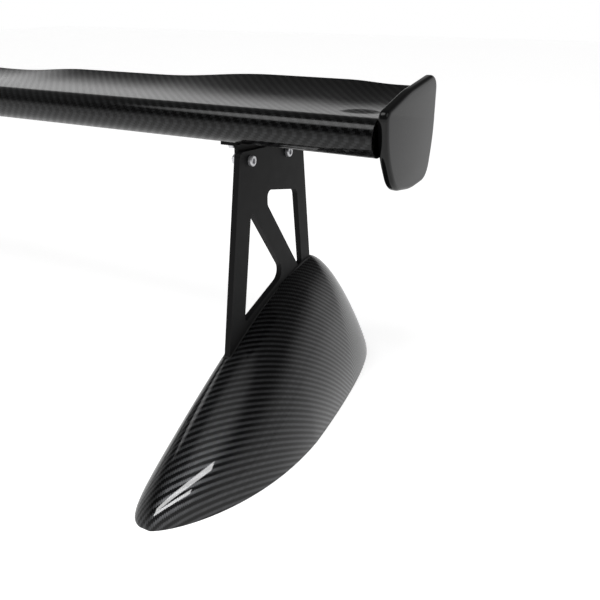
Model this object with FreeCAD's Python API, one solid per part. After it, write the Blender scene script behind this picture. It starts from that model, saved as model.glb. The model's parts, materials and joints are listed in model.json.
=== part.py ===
import FreeCAD, Part
import math
import os

# Rear wing on two uprights, for a boot lid. All sizes are in millimetres.
#
# X runs across the car, Y from the front to the rear and Z up. "Left" is the driver's left, +X.
# Everything is drawn about the stand datum, a plane across the car just behind the pivot bolts,
# and moved at the end so that the origin is the centre of the footprint, on the boot lid.

V = FreeCAD.Vector

# ---------------------------------------------------------------- driving dimensions

# Whole wing
half_span = 698.0            # centre of the car to the end of the wing skins
endplate_gap = 0.2           # glue line between a wing end and its endplate
stand_x = 529.0              # centre of the car to the middle of an upright

# Wing section, heights above the boot lid
nose_y = -27.0               # centre of the round nose
nose_z = 420.0
nose_radius = 21.0
tail_y = 115.0               # trailing edge
tail_z_centre = 444.0        # trailing edge height at the middle of the car
tail_z_outer = 459.5         # trailing edge height over the stands and beyond
tail_thickness = 3.0
tail_rise_centre = 0.17      # slope of the upper surface at the trailing edge
tail_rise_outer = 0.40
top_front_handle = 55.0      # how far the upper surface stays level behind the nose
top_rear_handle = 50.0
belly_slope = -0.364         # slope of the underside where it leaves the nose
belly_front_handle = 20.0
belly_rear_handle = 64.0
belly_rise_centre = 0.46     # slope of the underside at the trailing edge
belly_rise_outer = 0.62
first_rise_end = 160.0       # the trailing edge rises in two steps from the middle: up to here
first_rise_share = 0.42      # this much of its whole rise
second_rise_start = 290.0    # and the rest from here
outer_start = 500.0          # to here
tip_lead = 63.0              # outboard of a stand the tail stays level this far, then sinks a little
tip_flat = 26.0              # over this last length the wing has one section again
tip_fall = 3.0
span_sections = 12           # between the middle and outer_start
nose_steps = 4               # points round either half of the nose
surface_steps = 7            # points along each surface behind it
tip_sections = 3             # where the trailing edge sinks towards the end
skin_wall = 2.2
bond_length = 17.0           # upper and lower skins glued together at the trailing edge
bond_lead = 6.0              # the cavity's own curves end this far ahead of the glued strip

# Inside the wing
spar_y = 0.0                 # front face of the shear web
spar_thickness = 6.0
end_rib_thickness = 26.0
block_length = 48.0          # mounting blocks over each bracket, along X
block_front = -36.0
block_rear = 86.0

# Endplates
endplate_thickness = 12.0
endplate_outer_round = 5.0
endplate_inner_round = 3.5
endplate_outline = [         # corners (Y, Z) and the radius that rounds each
    (-36.0, 448.0, 12.0),
    (31.0, 463.0, 250.0),
    (125.5, 474.0, 17.0),
    (126.5, 400.0, 140.0),
    (112.0, 348.0, 26.0),
    (56.0, 347.0, 150.0),
    (0.0, 357.0, 42.0),
    (-30.0, 403.0, 150.0),
]
tab_length = 24.0            # fixing angle under each wing end, along X
tab_thickness = 3.0
tab_drop = 16.0
tab_front = 20.0
tab_rear = 46.0
tab_screw_radius = 2.5
tab_screw_head_radius = 4.4
tab_screw_head_height = 3.0
tab_screw_length = 12.0
tab_screw_flats = 3.0        # across the socket
tab_screw_inset = 1.0        # of the upper screw, from the middle of the angle
side_screw_share = 0.58      # how far down the angle the screw into the endplate sits
side_screw_depth = 7.0       # of that screw into the endplate

# Uprights
plate_thickness = 8.0
plate_top = 388.3            # at the stand datum
plate_top_fall = 0.065       # fall of the top edge to the rear
plate_top_front = -42.0
plate_top_rear = 113.0
plate_front_rake = 0.163     # Y per Z
plate_rear_rake = 0.127
plate_corner = 8.0
plate_foot_round = 1.0
front_leg = 32.5             # front leg beside the lower window, along Y
rear_leg = 25.0              # rear leg beside the upper window, along Y
strut_slope = 0.739          # Y per Z of the diagonal strut
strut_front = 27.7           # front edge of the strut at strut_level
strut_back = 64.5            # rear edge of the strut at strut_level
strut_level = 250.0
upper_window_top = 333.0     # at its front corner
upper_window_fall = 0.22     # fall of its top edge to the rear
upper_window_front = 18.0
sill_level = 186.2           # lower window's sill at the stand datum
sill_rise = 0.311
window_small_round = 4.0
window_apex_round = 6.0
window_corner_round = 10.0
window_shoulder_round = 8.0
window_elbow_round = 15.0

# Pivot and angle clamp
pivot_y = -20.0
bolt_below_top = 12.0        # bolt centres below the top edge of the upright
clamp_y = 70.0               # clamp bolt
bolt_radius = 4.0
bolt_clearance = 0.06        # radial, around every M8 shank
tilt_up = 8.0                # degrees, trailing edge up
tilt_down = 6.0              # degrees, trailing edge down
slot_end_room = 0.5
bolt_end = 3.0               # thread that shows past a nut
socket_depth_share = 0.6     # of the head's height
head_radius = 6.5
head_height = 5.0
socket_across_flats = 6.0
nut_across_flats = 13.0
nut_height = 6.5
washer_radius = 8.0
washer_thickness = 1.6
slide_gap = 0.25             # bracket leg to upright, and washer to bracket leg

# Wing brackets
bracket_thickness = 5.0      # of the leg beside the upright
flange_thickness = 4.0       # of the flange under the wing
flange_width = 28.0
flange_front = -28.0
bracket_front = -34.0
bracket_rear = 91.0
leg_round = 11.0             # leg below and around the pivot bolt
leg_rear_bottom = 350.0
bracket_edge_round = 0.5
flange_screw_radius = 3.0
flange_screw_end_room = 3.5  # from the rear screw's end to the upper skin
flange_screw_flats = 4.0     # across the socket
flange_screw_head_radius = 5.2
flange_screw_head_height = 3.6
flange_screw_y = (-20.0, 24.0, 62.0)
fixing_clearance = 0.3       # radial, screws in plain holes
seat_gap = 0.15              # paste between the wing and what is bolted under it
sheet_steps = 8              # points along a sheet that follows the underside
overrun = 1.0                # how far a cutting tool goes past a face
share_tolerance = 1e-9       # of a surface's length, when a point on it is looked for
share_step = 1e-3            # of a surface's length, over which its direction is taken

# Pods
pod_front = 259.0            # pod tip ahead of the stand datum
pod_rear = 290.0             # pod tail behind the stand datum
pod_wall = 3.0
pod_outer_width = 95.4       # from the upright's middle, away from the car's centre
pod_inner_width = 42.0       # towards the car's centre
pod_widest_y = -18.7
pod_plan_power = 2.2         # fullness of the outer side in plan, ahead of its widest point
pod_plan_root = 1.37
pod_plan_rear_power = 1.2    # and behind it
pod_plan_rear_root = 3.5
pod_inner_power = 9.0        # fullness of the inner side in plan
pod_inner_root = 2.4
pod_ridge_height = 191.0     # ridge line at the stand datum, before its ends fall away
pod_ridge_rise = 0.106
pod_brow_y = 86.5            # the ridge starts to fall to the tip here
pod_brow_power = 1.7
pod_brow_root = 1.37
pod_crest_y = 134.7          # and to the tail here
pod_crest_power = 1.5
pod_crest_root = 1.1
pod_side_power = 1.6         # roundness of the outer side in cross-section
pod_inner_side_power = 1.7
pod_sections = 13            # along the pod
pod_end_share = 0.35         # how near to the tip and the tail the end sections sit
arch_steps = 5               # along either half of a section
slot_clearance = 1.5         # between upright and pod, filled by the seal
seal_lip = 0.6               # how far the seal stands out of the pod
seal_depth = 1.0             # how far it reaches in past the pod's wall

# Feet inside the pods
pad_thickness = 2.0
pad_margin = 2.0
foot_thickness = 5.0
foot_height = 40.0
foot_width = 62.0
foot_front = -74.0
foot_rear = 136.0
foot_round = 8.0
foot_bolt_y = (-50.0, 31.0, 112.0)
foot_bolt_z = 26.0
stud_near = 22.0             # holes for the car's own studs, from the upright's outer face
stud_far = 50.0
stud_front = -56.0
stud_rear = 118.0
stud_hole_radius = 4.5
pad_hole_radius = 6.0

# ---------------------------------------------------------------- worked out from them

datum_y = (pod_front - pod_rear) / 2.0
pivot_z = plate_top - plate_top_fall * pivot_y - bolt_below_top
clamp_z = plate_top - plate_top_fall * clamp_y - bolt_below_top
clamp_spacing = math.hypot(clamp_y - pivot_y, clamp_z - pivot_z)
clamp_angle = math.degrees(math.atan2(clamp_z - pivot_z, clamp_y - pivot_y))
shank_hole = bolt_radius + bolt_clearance
tip_start = stand_x + tip_lead
tip_end = half_span - tip_flat
plate_inner = stand_x - plate_thickness / 2.0
plate_outer = stand_x + plate_thickness / 2.0
leg_outer = plate_inner - slide_gap
leg_inner = leg_outer - bracket_thickness
flange_inner = leg_outer - flange_width
endplate_inner = half_span + endplate_gap
plate_foot = pad_thickness
flange_seat = seat_gap + flange_thickness
tab_seat = seat_gap + tab_thickness
above_all = 2.0 * tail_z_outer
m8_loose = bolt_radius + fixing_clearance


# ---------------------------------------------------------------- helpers

def box(x0, x1, y0, y1, z0, z1):
    return Part.makeBox(x1 - x0, y1 - y0, z1 - z0, V(x0, y0, z0))


def rod_x(x0, x1, y, z, radius):
    """Cylinder along X."""
    return Part.makeCylinder(radius, x1 - x0, V(x0, y, z), V(1, 0, 0))


def hex_prism(across_flats, height, base, axis):
    corner = across_flats / math.sqrt(3.0)
    side = V(0, 0, 1) if abs(axis.x) > 0.5 else V(1, 0, 0)
    other = axis.cross(side)
    points = []
    for k in range(7):
        turn = math.radians(60.0 * k)
        points.append(base + side * (corner * math.cos(turn)) + other * (corner * math.sin(turn)))
    return Part.Face(Part.makePolygon(points)).extrude(axis * height)


def rounded_profile(corners, place):
    """Closed wire through corners (u, v, radius), each rounded by a tangent arc that takes
    less than half of either side."""
    starts = []
    mids = []
    ends = []
    count = len(corners)
    for k in range(count):
        u, v, radius = corners[k]
        here = V(u, v, 0)
        before = V(corners[k - 1][0], corners[k - 1][1], 0) - here
        after = V(corners[(k + 1) % count][0], corners[(k + 1) % count][1], 0) - here
        shorter = min(before.Length, after.Length)
        before.normalize()
        after.normalize()
        half = before.getAngle(after) / 2.0
        reach = min(radius / math.tan(half), 0.495 * shorter)
        radius = reach * math.tan(half)
        middle = (before + after).normalize() * (radius / math.sin(half) - radius)
        starts.append(here + before * reach)
        mids.append(here + middle)
        ends.append(here + after * reach)
    edges = []
    for k in range(count):
        edges.append(Part.Arc(place(starts[k]), place(mids[k]), place(ends[k])).toShape())
        following = starts[(k + 1) % count]
        if ends[k].distanceToPoint(following) > 1e-4:
            edges.append(Part.LineSegment(place(ends[k]), place(following)).toShape())
    return Part.Wire(edges)


def plate_yz(corners, x0, thickness, holes=()):
    """Flat plate standing across the car's width, from its (y, z, radius) corners."""
    def place(p):
        return V(x0, p.x, p.y)
    solid = Part.Face(rounded_profile(corners, place)).extrude(V(thickness, 0, 0))
    for hole in holes:
        solid = solid.cut(Part.Face(rounded_profile(hole, place)).extrude(V(thickness, 0, 0)))
    return solid


def mirrored(shape):
    return shape.mirror(V(0, 0, 0), V(1, 0, 0))


def both_sides(shapes):
    """One node of loose solids: the given ones and their mirror images."""
    solids = []
    for shape in shapes:
        solids.append(shape)
        solids.append(mirrored(shape))
    return Part.makeCompound(solids)


def spline(points, marks, start=None, end=None):
    """Smooth edge through points; marks are the curve's own parameters at them, so that
    all sections of one form share them."""
    curve = Part.BSplineCurve()
    if start is None:
        curve.interpolate(Points=points, Parameters=marks)
    else:
        curve.interpolate(Points=points, Parameters=marks,
                          InitialTangent=start, FinalTangent=end, Scale=False)
    return curve.toShape()


def distance_marks(points):
    """Share of the whole length reached at each point."""
    reached = [0.0]
    for k in range(1, len(points)):
        reached.append(reached[-1] + points[k].distanceToPoint(points[k - 1]))
    return [r / reached[-1] for r in reached]


def ease(t):
    """Smooth step from 0 to 1."""
    t = min(max(t, 0.0), 1.0)
    return t * t * t * (10.0 + t * (6.0 * t - 15.0))


def bezier(a, b, c, d, t):
    s = 1.0 - t
    return a * (s * s * s) + b * (3.0 * s * s * t) + c * (3.0 * s * t * t) + d * (t * t * t)


# ---------------------------------------------------------------- wing section

def outer_share(x):
    """0 in the middle of the wing and 1 over the stands and beyond, reached in two steps."""
    first = ease(abs(x) / first_rise_end)
    second = ease((abs(x) - second_rise_start) / (outer_start - second_rise_start))
    return first_rise_share * first + (1.0 - first_rise_share) * second


def between(centre, outer, x):
    return centre + (outer - centre) * outer_share(x)


def tail_z(x):
    """Height of the trailing edge."""
    fall = tip_fall * ease((abs(x) - tip_start) / (tip_end - tip_start))
    return between(tail_z_centre, tail_z_outer, x) - fall


def tail_slope(x, top):
    if top:
        return between(tail_rise_centre, tail_rise_outer, x)
    return between(belly_rise_centre, belly_rise_outer, x)


def on_nose(x, angle):
    return V(x, nose_y + nose_radius * math.cos(angle), nose_z + nose_radius * math.sin(angle))


def leaving_angle(top):
    """Angle on the nose circle where a surface leaves it."""
    return math.pi / 2.0 if top else math.atan(belly_slope) - math.pi / 2.0


def surface_handles(x, top):
    """The four points that steer a surface from the nose to the tail."""
    start = on_nose(x, leaving_angle(top))
    if top:
        end = V(x, tail_y, tail_z(x) + tail_thickness / 2.0)
        front = start + V(0, top_front_handle, 0)
        rear = end - V(0, 1.0, tail_slope(x, top)) * top_rear_handle
    else:
        end = V(x, tail_y, tail_z(x) - tail_thickness / 2.0)
        front = start + V(0, 1.0, belly_slope) * belly_front_handle
        rear = end - V(0, 1.0, tail_slope(x, top)) * belly_rear_handle
    return start, front, rear, end


def surface_points(x, top):
    """Points of one outer surface of the wing from the leading edge to the tail, at station x."""
    edge = math.pi if top else -math.pi
    turn = leaving_angle(top) - edge
    points = [on_nose(x, edge + turn * k / nose_steps) for k in range(nose_steps)]
    handles = surface_handles(x, top)
    for k in range(surface_steps + 1):
        points.append(bezier(*handles, k / surface_steps))
    return points


def inward(points, distance, top):
    """The same points moved square to the curve, into the wing."""
    moved = []
    for k in range(len(points)):
        ahead = points[min(k + 1, len(points) - 1)]
        behind = points[max(k - 1, 0)]
        along = (ahead - behind).normalize()
        if k == 0:
            along = V(0, 0, 1) if top else V(0, 0, -1)
        side = V(0, along.z, -along.y) if top else V(0, -along.z, along.y)
        moved.append(points[k] + side * distance)
    return moved


def tail_of_cavity(x):
    """Where the cavity ends and the two skins meet."""
    top = surface_points(x, True)
    bottom = surface_points(x, False)
    tail = (top[-1] + bottom[-1]) * 0.5
    before = (top[-2] + bottom[-2]) * 0.5
    return tail + (before - tail).normalize() * bond_length


def cavity_points(x, top):
    tip = tail_of_cavity(x)
    points = [p for p in inward(surface_points(x, top), skin_wall, top) if p.y < tip.y - bond_lead]
    return points + [tip]


def skin_wire(x, top):
    """Section of one skin: outer surface, half of the tail, glued strip, cavity side, nose joint."""
    outside = surface_points(x, top)
    inside = cavity_points(x, top)
    tail = V(x, tail_y, tail_z(x))
    up = V(0, 0, 1 if top else -1)
    leaving = V(0, 1, tail_slope(x, top)).normalize()
    outer_marks = distance_marks(surface_points(outer_start, top))
    inner_marks = distance_marks(cavity_points(outer_start, top)[::-1])
    length = sum(outside[k].distanceToPoint(outside[k + 1]) for k in range(len(outside) - 1))
    edges = [
        spline(outside, outer_marks, up * length, leaving * length),
        Part.makeLine(outside[-1], tail),
        Part.makeLine(tail, inside[-1]),
        spline(inside[::-1], inner_marks),
        Part.makeLine(inside[0], outside[0]),
    ]
    return Part.Wire(edges)


def cavity_wire(x):
    top = cavity_points(x, True)
    bottom = cavity_points(x, False)
    edges = [
        spline(top[::-1], distance_marks(cavity_points(outer_start, True)[::-1])),
        spline(bottom, distance_marks(cavity_points(outer_start, False))),
    ]
    return Part.Wire(edges)


def changing(section, x0, x1, count):
    """Solid of a section that changes between two stations."""
    stations = [x0 + (x1 - x0) * k / count for k in range(count + 1)]
    return Part.makeLoft([section(x) for x in stations], True, False)


def steady(section, x0, x1):
    """Solid of a section that stays the same between two stations."""
    return Part.Face(section(x0)).extrude(V(x1 - x0, 0, 0))


def along_span(section):
    """Solid of a section all along the wing."""
    pieces = [
        changing(section, 0.0, outer_start, span_sections),
        steady(section, outer_start, tip_start),
        changing(section, tip_start, tip_end, tip_sections),
        steady(section, tip_end, half_span),
    ]
    others = [mirrored(piece) for piece in pieces]
    return pieces[0].fuse(pieces[1:] + others)


# ---------------------------------------------------------------- pods

def falling(t, power, root):
    """1 at t = 0 and 0 at t = 1, with a round or a pointed end."""
    t = min(max(t, 0.0), 1.0)
    return (1.0 - t ** power) ** (1.0 / root)


def pod_width(y, grow, outer):
    """Half width of the pod at y, on its outer or inner side."""
    if y < pod_widest_y:
        t = (pod_widest_y - y) / (pod_widest_y + pod_front + grow)
        fullness = (pod_plan_power, pod_plan_root)
    else:
        t = (y - pod_widest_y) / (pod_rear + grow - pod_widest_y)
        fullness = (pod_plan_rear_power, pod_plan_rear_root)
    if outer:
        return (pod_outer_width + grow) * falling(t, *fullness)
    return (pod_inner_width + grow) * falling(t, pod_inner_power, pod_inner_root)


def pod_height(y, grow):
    ridge = pod_ridge_height + pod_ridge_rise * y + grow
    ridge *= falling((pod_brow_y - y) / (pod_brow_y + pod_front + grow), pod_brow_power, pod_brow_root)
    ridge *= falling((y - pod_crest_y) / (pod_rear + grow - pod_crest_y), pod_crest_power, pod_crest_root)
    return ridge


def pod_arch(y, grow, foot_z):
    """Arch of the pod's cross-section at y, closed along its foot."""
    points = []
    marks = []
    height = pod_height(y, grow)
    for k in range(-arch_steps, arch_steps + 1):
        turn = math.pi / 2.0 * k / arch_steps
        marks.append((k + arch_steps) / (2.0 * arch_steps))
        outer = k > 0
        power = pod_side_power if outer else pod_inner_side_power
        width = pod_width(y, grow, outer)
        across = math.copysign(abs(math.sin(turn)) ** (2.0 / power), k) * width
        if k == 0:
            across = 0.0
        points.append(V(stand_x + across, y, height * max(math.cos(turn), 0.0) ** (2.0 / power)))
    points[0] = V(points[0].x, y, 0)
    points[-1] = V(points[-1].x, y, 0)
    edges = [spline(points, marks)]
    if foot_z < 0.0:
        low_start = V(points[0].x, y, foot_z)
        low_end = V(points[-1].x, y, foot_z)
        edges.append(Part.makeLine(points[-1], low_end))
        edges.append(Part.makeLine(low_end, low_start))
        edges.append(Part.makeLine(low_start, points[0]))
    else:
        edges.append(Part.makeLine(points[-1], points[0]))
    return Part.Wire(edges)


def pod_form(grow, foot_z=0.0):
    """Solid teardrop; grow is the distance outside the pod's own surface."""
    first = -(pod_front + grow)
    last = pod_rear + grow
    wires = []
    for k in range(pod_sections):
        turn = math.pi * (k + pod_end_share) / (pod_sections - 1 + 2.0 * pod_end_share)
        share = 0.5 - 0.5 * math.cos(turn)
        wires.append(pod_arch(first + (last - first) * share, grow, foot_z))
    return Part.makeLoft(wires, True, False)


# ---------------------------------------------------------------- under the wing

def on_surface(x, y, top):
    """Point of a surface of the wing at x and y, behind the nose, and the way the surface runs."""
    handles = surface_handles(x, top)
    low = 0.0
    high = 1.0
    while high - low > share_tolerance:
        middle = (low + high) / 2.0
        if bezier(*handles, middle).y < y:
            low = middle
        else:
            high = middle
    here = bezier(*handles, low)
    return here, (bezier(*handles, high + share_step) - here).normalize()


def underside(x, y):
    """Point of the wing's underside and the direction square to it, downwards."""
    here, along = on_surface(x, y, False)
    return here, V(0, along.z, -along.y)


def middle_height(x, y):
    return (on_surface(x, y, True)[0].z + on_surface(x, y, False)[0].z) / 2.0


def thickness_at(x, y):
    """Thickness of the wing, square to its underside."""
    here, down = underside(x, y)
    above, along = on_surface(x, y, True)
    return (here - above).dot(down)


def below_surface(x, y0, y1, distance):
    """Points at an even distance under the wing."""
    points = []
    for k in range(sheet_steps + 1):
        here, down = underside(x, y0 + (y1 - y0) * k / sheet_steps)
        points.append(here + down * distance)
    return points


def under_wing(x0, x1, y0, y1, thickness):
    """Sheet of even thickness that follows the underside of the wing."""
    upper = below_surface(x1, y0, y1, seat_gap)
    lower = below_surface(x1, y0, y1, seat_gap + thickness)[::-1]
    edges = [
        spline(upper, distance_marks(upper)),
        Part.makeLine(upper[-1], lower[0]),
        spline(lower, distance_marks(lower)),
        Part.makeLine(lower[-1], upper[0]),
    ]
    return Part.Face(Part.Wire(edges)).extrude(V(x0 - x1, 0, 0))


def room_below(x0, x1, y0, y1, distance):
    """Everything lower than a line at an even distance under the wing, to trim a plate to it."""
    upper = below_surface(x1, y0, y1, distance)
    rear = V(x1, upper[-1].y, 0)
    front = V(x1, upper[0].y, 0)
    edges = [
        spline(upper, distance_marks(upper)),
        Part.makeLine(upper[-1], rear),
        Part.makeLine(rear, front),
        Part.makeLine(front, upper[0]),
    ]
    return Part.Face(Part.Wire(edges)).extrude(V(x0 - x1, 0, 0))


def arc_slot(x0, thickness, radius, half_width, low, high):
    """Curved slot about the pivot, between two angles in degrees."""
    def at(distance, degrees):
        turn = math.radians(degrees)
        return V(x0, pivot_y + distance * math.cos(turn), pivot_z + distance * math.sin(turn))
    middle = (low + high) / 2.0
    beyond = math.degrees(half_width / radius)
    near = radius - half_width
    far = radius + half_width
    edges = [
        Part.Arc(at(far, low), at(far, middle), at(far, high)),
        Part.Arc(at(far, high), at(radius, high + beyond), at(near, high)),
        Part.Arc(at(near, high), at(near, middle), at(near, low)),
        Part.Arc(at(near, low), at(radius, low - beyond), at(far, low)),
    ]
    return Part.Face(Part.Wire([edge.toShape() for edge in edges])).extrude(V(thickness, 0, 0))


# ---------------------------------------------------------------- fasteners

def socket_screw(seat, axis, radius, length, head_r, head_h, flats):
    """Cap screw; seat is the middle of the head's underside and axis points along the shank."""
    head = Part.makeCylinder(head_r, head_h, seat, axis * -1.0)
    shank = Part.makeCylinder(radius, length, seat, axis)
    socket = hex_prism(flats, head_h * socket_depth_share, seat - axis * head_h, axis)
    return head.fuse(shank).cut(socket).removeSplitter()


def m8_stack(x0, y, z, grip):
    """Bolt from the outer face x0 inwards through grip, with its washer and nut."""
    length = grip + washer_thickness + nut_height + bolt_end
    bolt = socket_screw(V(x0, y, z), V(-1, 0, 0), bolt_radius, length,
                        head_radius, head_height, socket_across_flats)
    washer_face = x0 - grip - washer_thickness
    washer = rod_x(washer_face, washer_face + washer_thickness, y, z, washer_radius)
    washer = washer.cut(rod_x(washer_face - overrun, x0, y, z, m8_loose))
    nut = hex_prism(nut_across_flats, nut_height, V(washer_face, y, z), V(-1, 0, 0))
    nut = nut.cut(rod_x(washer_face - nut_height - overrun, washer_face + overrun, y, z, bolt_radius))
    return bolt, washer, nut


# ---------------------------------------------------------------- sub-parts

def leaning(y, z, slope):
    """Straight line in the plate through (y, z), as its y at height 0 and its y per z."""
    return y - slope * z, slope


def crossing(first, second):
    """Point (y, z) where two leaning lines meet."""
    z = (second[0] - first[0]) / (first[1] - second[1])
    return first[0] + first[1] * z, z


def upright_outline(margin):
    """Corners of an upright with its edges moved out by a margin."""
    front_top = plate_top - plate_top_fall * plate_top_front
    rear_top = plate_top - plate_top_fall * plate_top_rear
    front_foot = plate_top_front - (front_top - plate_foot) * plate_front_rake
    rear_foot = plate_top_rear + (rear_top - plate_foot) * plate_rear_rake
    return [
        (front_foot - margin, plate_foot - margin, plate_foot_round),
        (plate_top_front - margin, front_top + margin, plate_corner),
        (plate_top_rear + margin, rear_top + margin, plate_corner),
        (rear_foot + margin, plate_foot - margin, plate_foot_round),
    ]


def upright_windows():
    """Corners of the lower and the upper window, between the legs, the strut and the sill."""
    front_top = plate_top - plate_top_fall * plate_top_front
    rear_top = plate_top - plate_top_fall * plate_top_rear
    front_leg_edge = leaning(plate_top_front + front_leg, front_top, plate_front_rake)
    rear_leg_edge = leaning(plate_top_rear - rear_leg, rear_top, -plate_rear_rake)
    strut_front_edge = leaning(strut_front, strut_level, -strut_slope)
    strut_rear_edge = leaning(strut_back, strut_level, -strut_slope)
    sill = leaning(0.0, sill_level, 1.0 / sill_rise)
    upper_front_edge = leaning(upper_window_front, 0.0, 0.0)
    upper_top_edge = leaning(upper_window_front, upper_window_top, -1.0 / upper_window_fall)
    lower = [
        (*crossing(front_leg_edge, sill), window_small_round),
        (*crossing(front_leg_edge, strut_front_edge), window_small_round),
        (*crossing(sill, strut_front_edge), window_elbow_round),
    ]
    upper = [
        (*crossing(rear_leg_edge, strut_rear_edge), window_apex_round),
        (*crossing(upper_front_edge, strut_rear_edge), window_corner_round),
        (upper_window_front, upper_window_top, window_shoulder_round),
        (*crossing(rear_leg_edge, upper_top_edge), window_corner_round),
    ]
    return lower, upper


def make_upright():
    plate = plate_yz(upright_outline(0.0), plate_inner, plate_thickness, upright_windows())
    holes = [(pivot_y, pivot_z), (clamp_y, clamp_z)]
    holes += [(y, foot_bolt_z) for y in foot_bolt_y]
    for y, z in holes:
        plate = plate.cut(rod_x(plate_inner - overrun, plate_outer + overrun, y, z, shank_hole))
    return plate


def make_bracket():
    flange = under_wing(flange_inner, leg_outer, flange_front, bracket_rear, flange_thickness)

    def place(p):
        return V(leg_inner, p.x, p.y)
    corners = [
        (bracket_front, pivot_z - leg_round, leg_round),
        (bracket_front, middle_height(leg_outer, bracket_front), bracket_edge_round),
        (bracket_rear, middle_height(leg_outer, bracket_rear), bracket_edge_round),
        (bracket_rear, leg_rear_bottom, leg_round),
    ]
    leg = Part.Face(rounded_profile(corners, place)).extrude(V(bracket_thickness, 0, 0))
    leg = leg.common(room_below(leg_inner, leg_outer, bracket_front, bracket_rear,
                                seat_gap + flange_thickness / 2.0))
    bracket = flange.fuse(leg).removeSplitter()
    bracket = bracket.cut(rod_x(leg_inner - overrun, leg_outer + overrun, pivot_y, pivot_z, shank_hole))
    room = math.degrees(slot_end_room / clamp_spacing)
    low = clamp_angle - tilt_up - room
    high = clamp_angle + tilt_down + room
    slot = arc_slot(leg_inner - overrun, bracket_thickness + 2.0 * overrun,
                    clamp_spacing, shank_hole, low, high)
    return bracket.cut(slot)


def flange_screw(x, y, depth, radius, length, head_r, head_h, flats):
    """Screw square to the underside at y, its head on a sheet of the given depth."""
    here, down = underside(x, y)
    return socket_screw(here + down * depth, down * -1.0, radius, length, head_r, head_h, flats)


def screw_hole(x, y, below, above, radius):
    """Hole square to the underside at y, from a depth below the surface to one above it."""
    here, down = underside(abs(x), y)
    return Part.makeCylinder(radius, below + above, V(x, here.y, here.z) + down * below, down * -1.0)


def make_endplate():
    def place(p):
        return V(endplate_inner, p.x, p.y)
    plate = Part.Face(rounded_profile(endplate_outline, place)).extrude(V(endplate_thickness, 0, 0))
    outer_x = endplate_inner + endplate_thickness
    rims = {endplate_inner: endplate_inner_round, outer_x: endplate_outer_round}
    for x, radius in rims.items():
        rim = [e for e in plate.Edges if abs(e.BoundBox.XMin - x) < 1e-3 and abs(e.BoundBox.XMax - x) < 1e-3]
        plate = plate.makeFillet(radius, rim)
    return plate


def export(name, shape):
    moved = shape.copy()
    moved.translate(V(0, datum_y, 0))
    moved.exportStep(os.path.join("parts", name + ".step"))
    print(name, "valid", moved.isValid(), "solids", len(moved.Solids), "cm3", round(moved.Volume / 1000.0, 1))


def export_pair(name, shape):
    export(name + "_left", shape)
    export(name + "_right", mirrored(shape))


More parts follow.
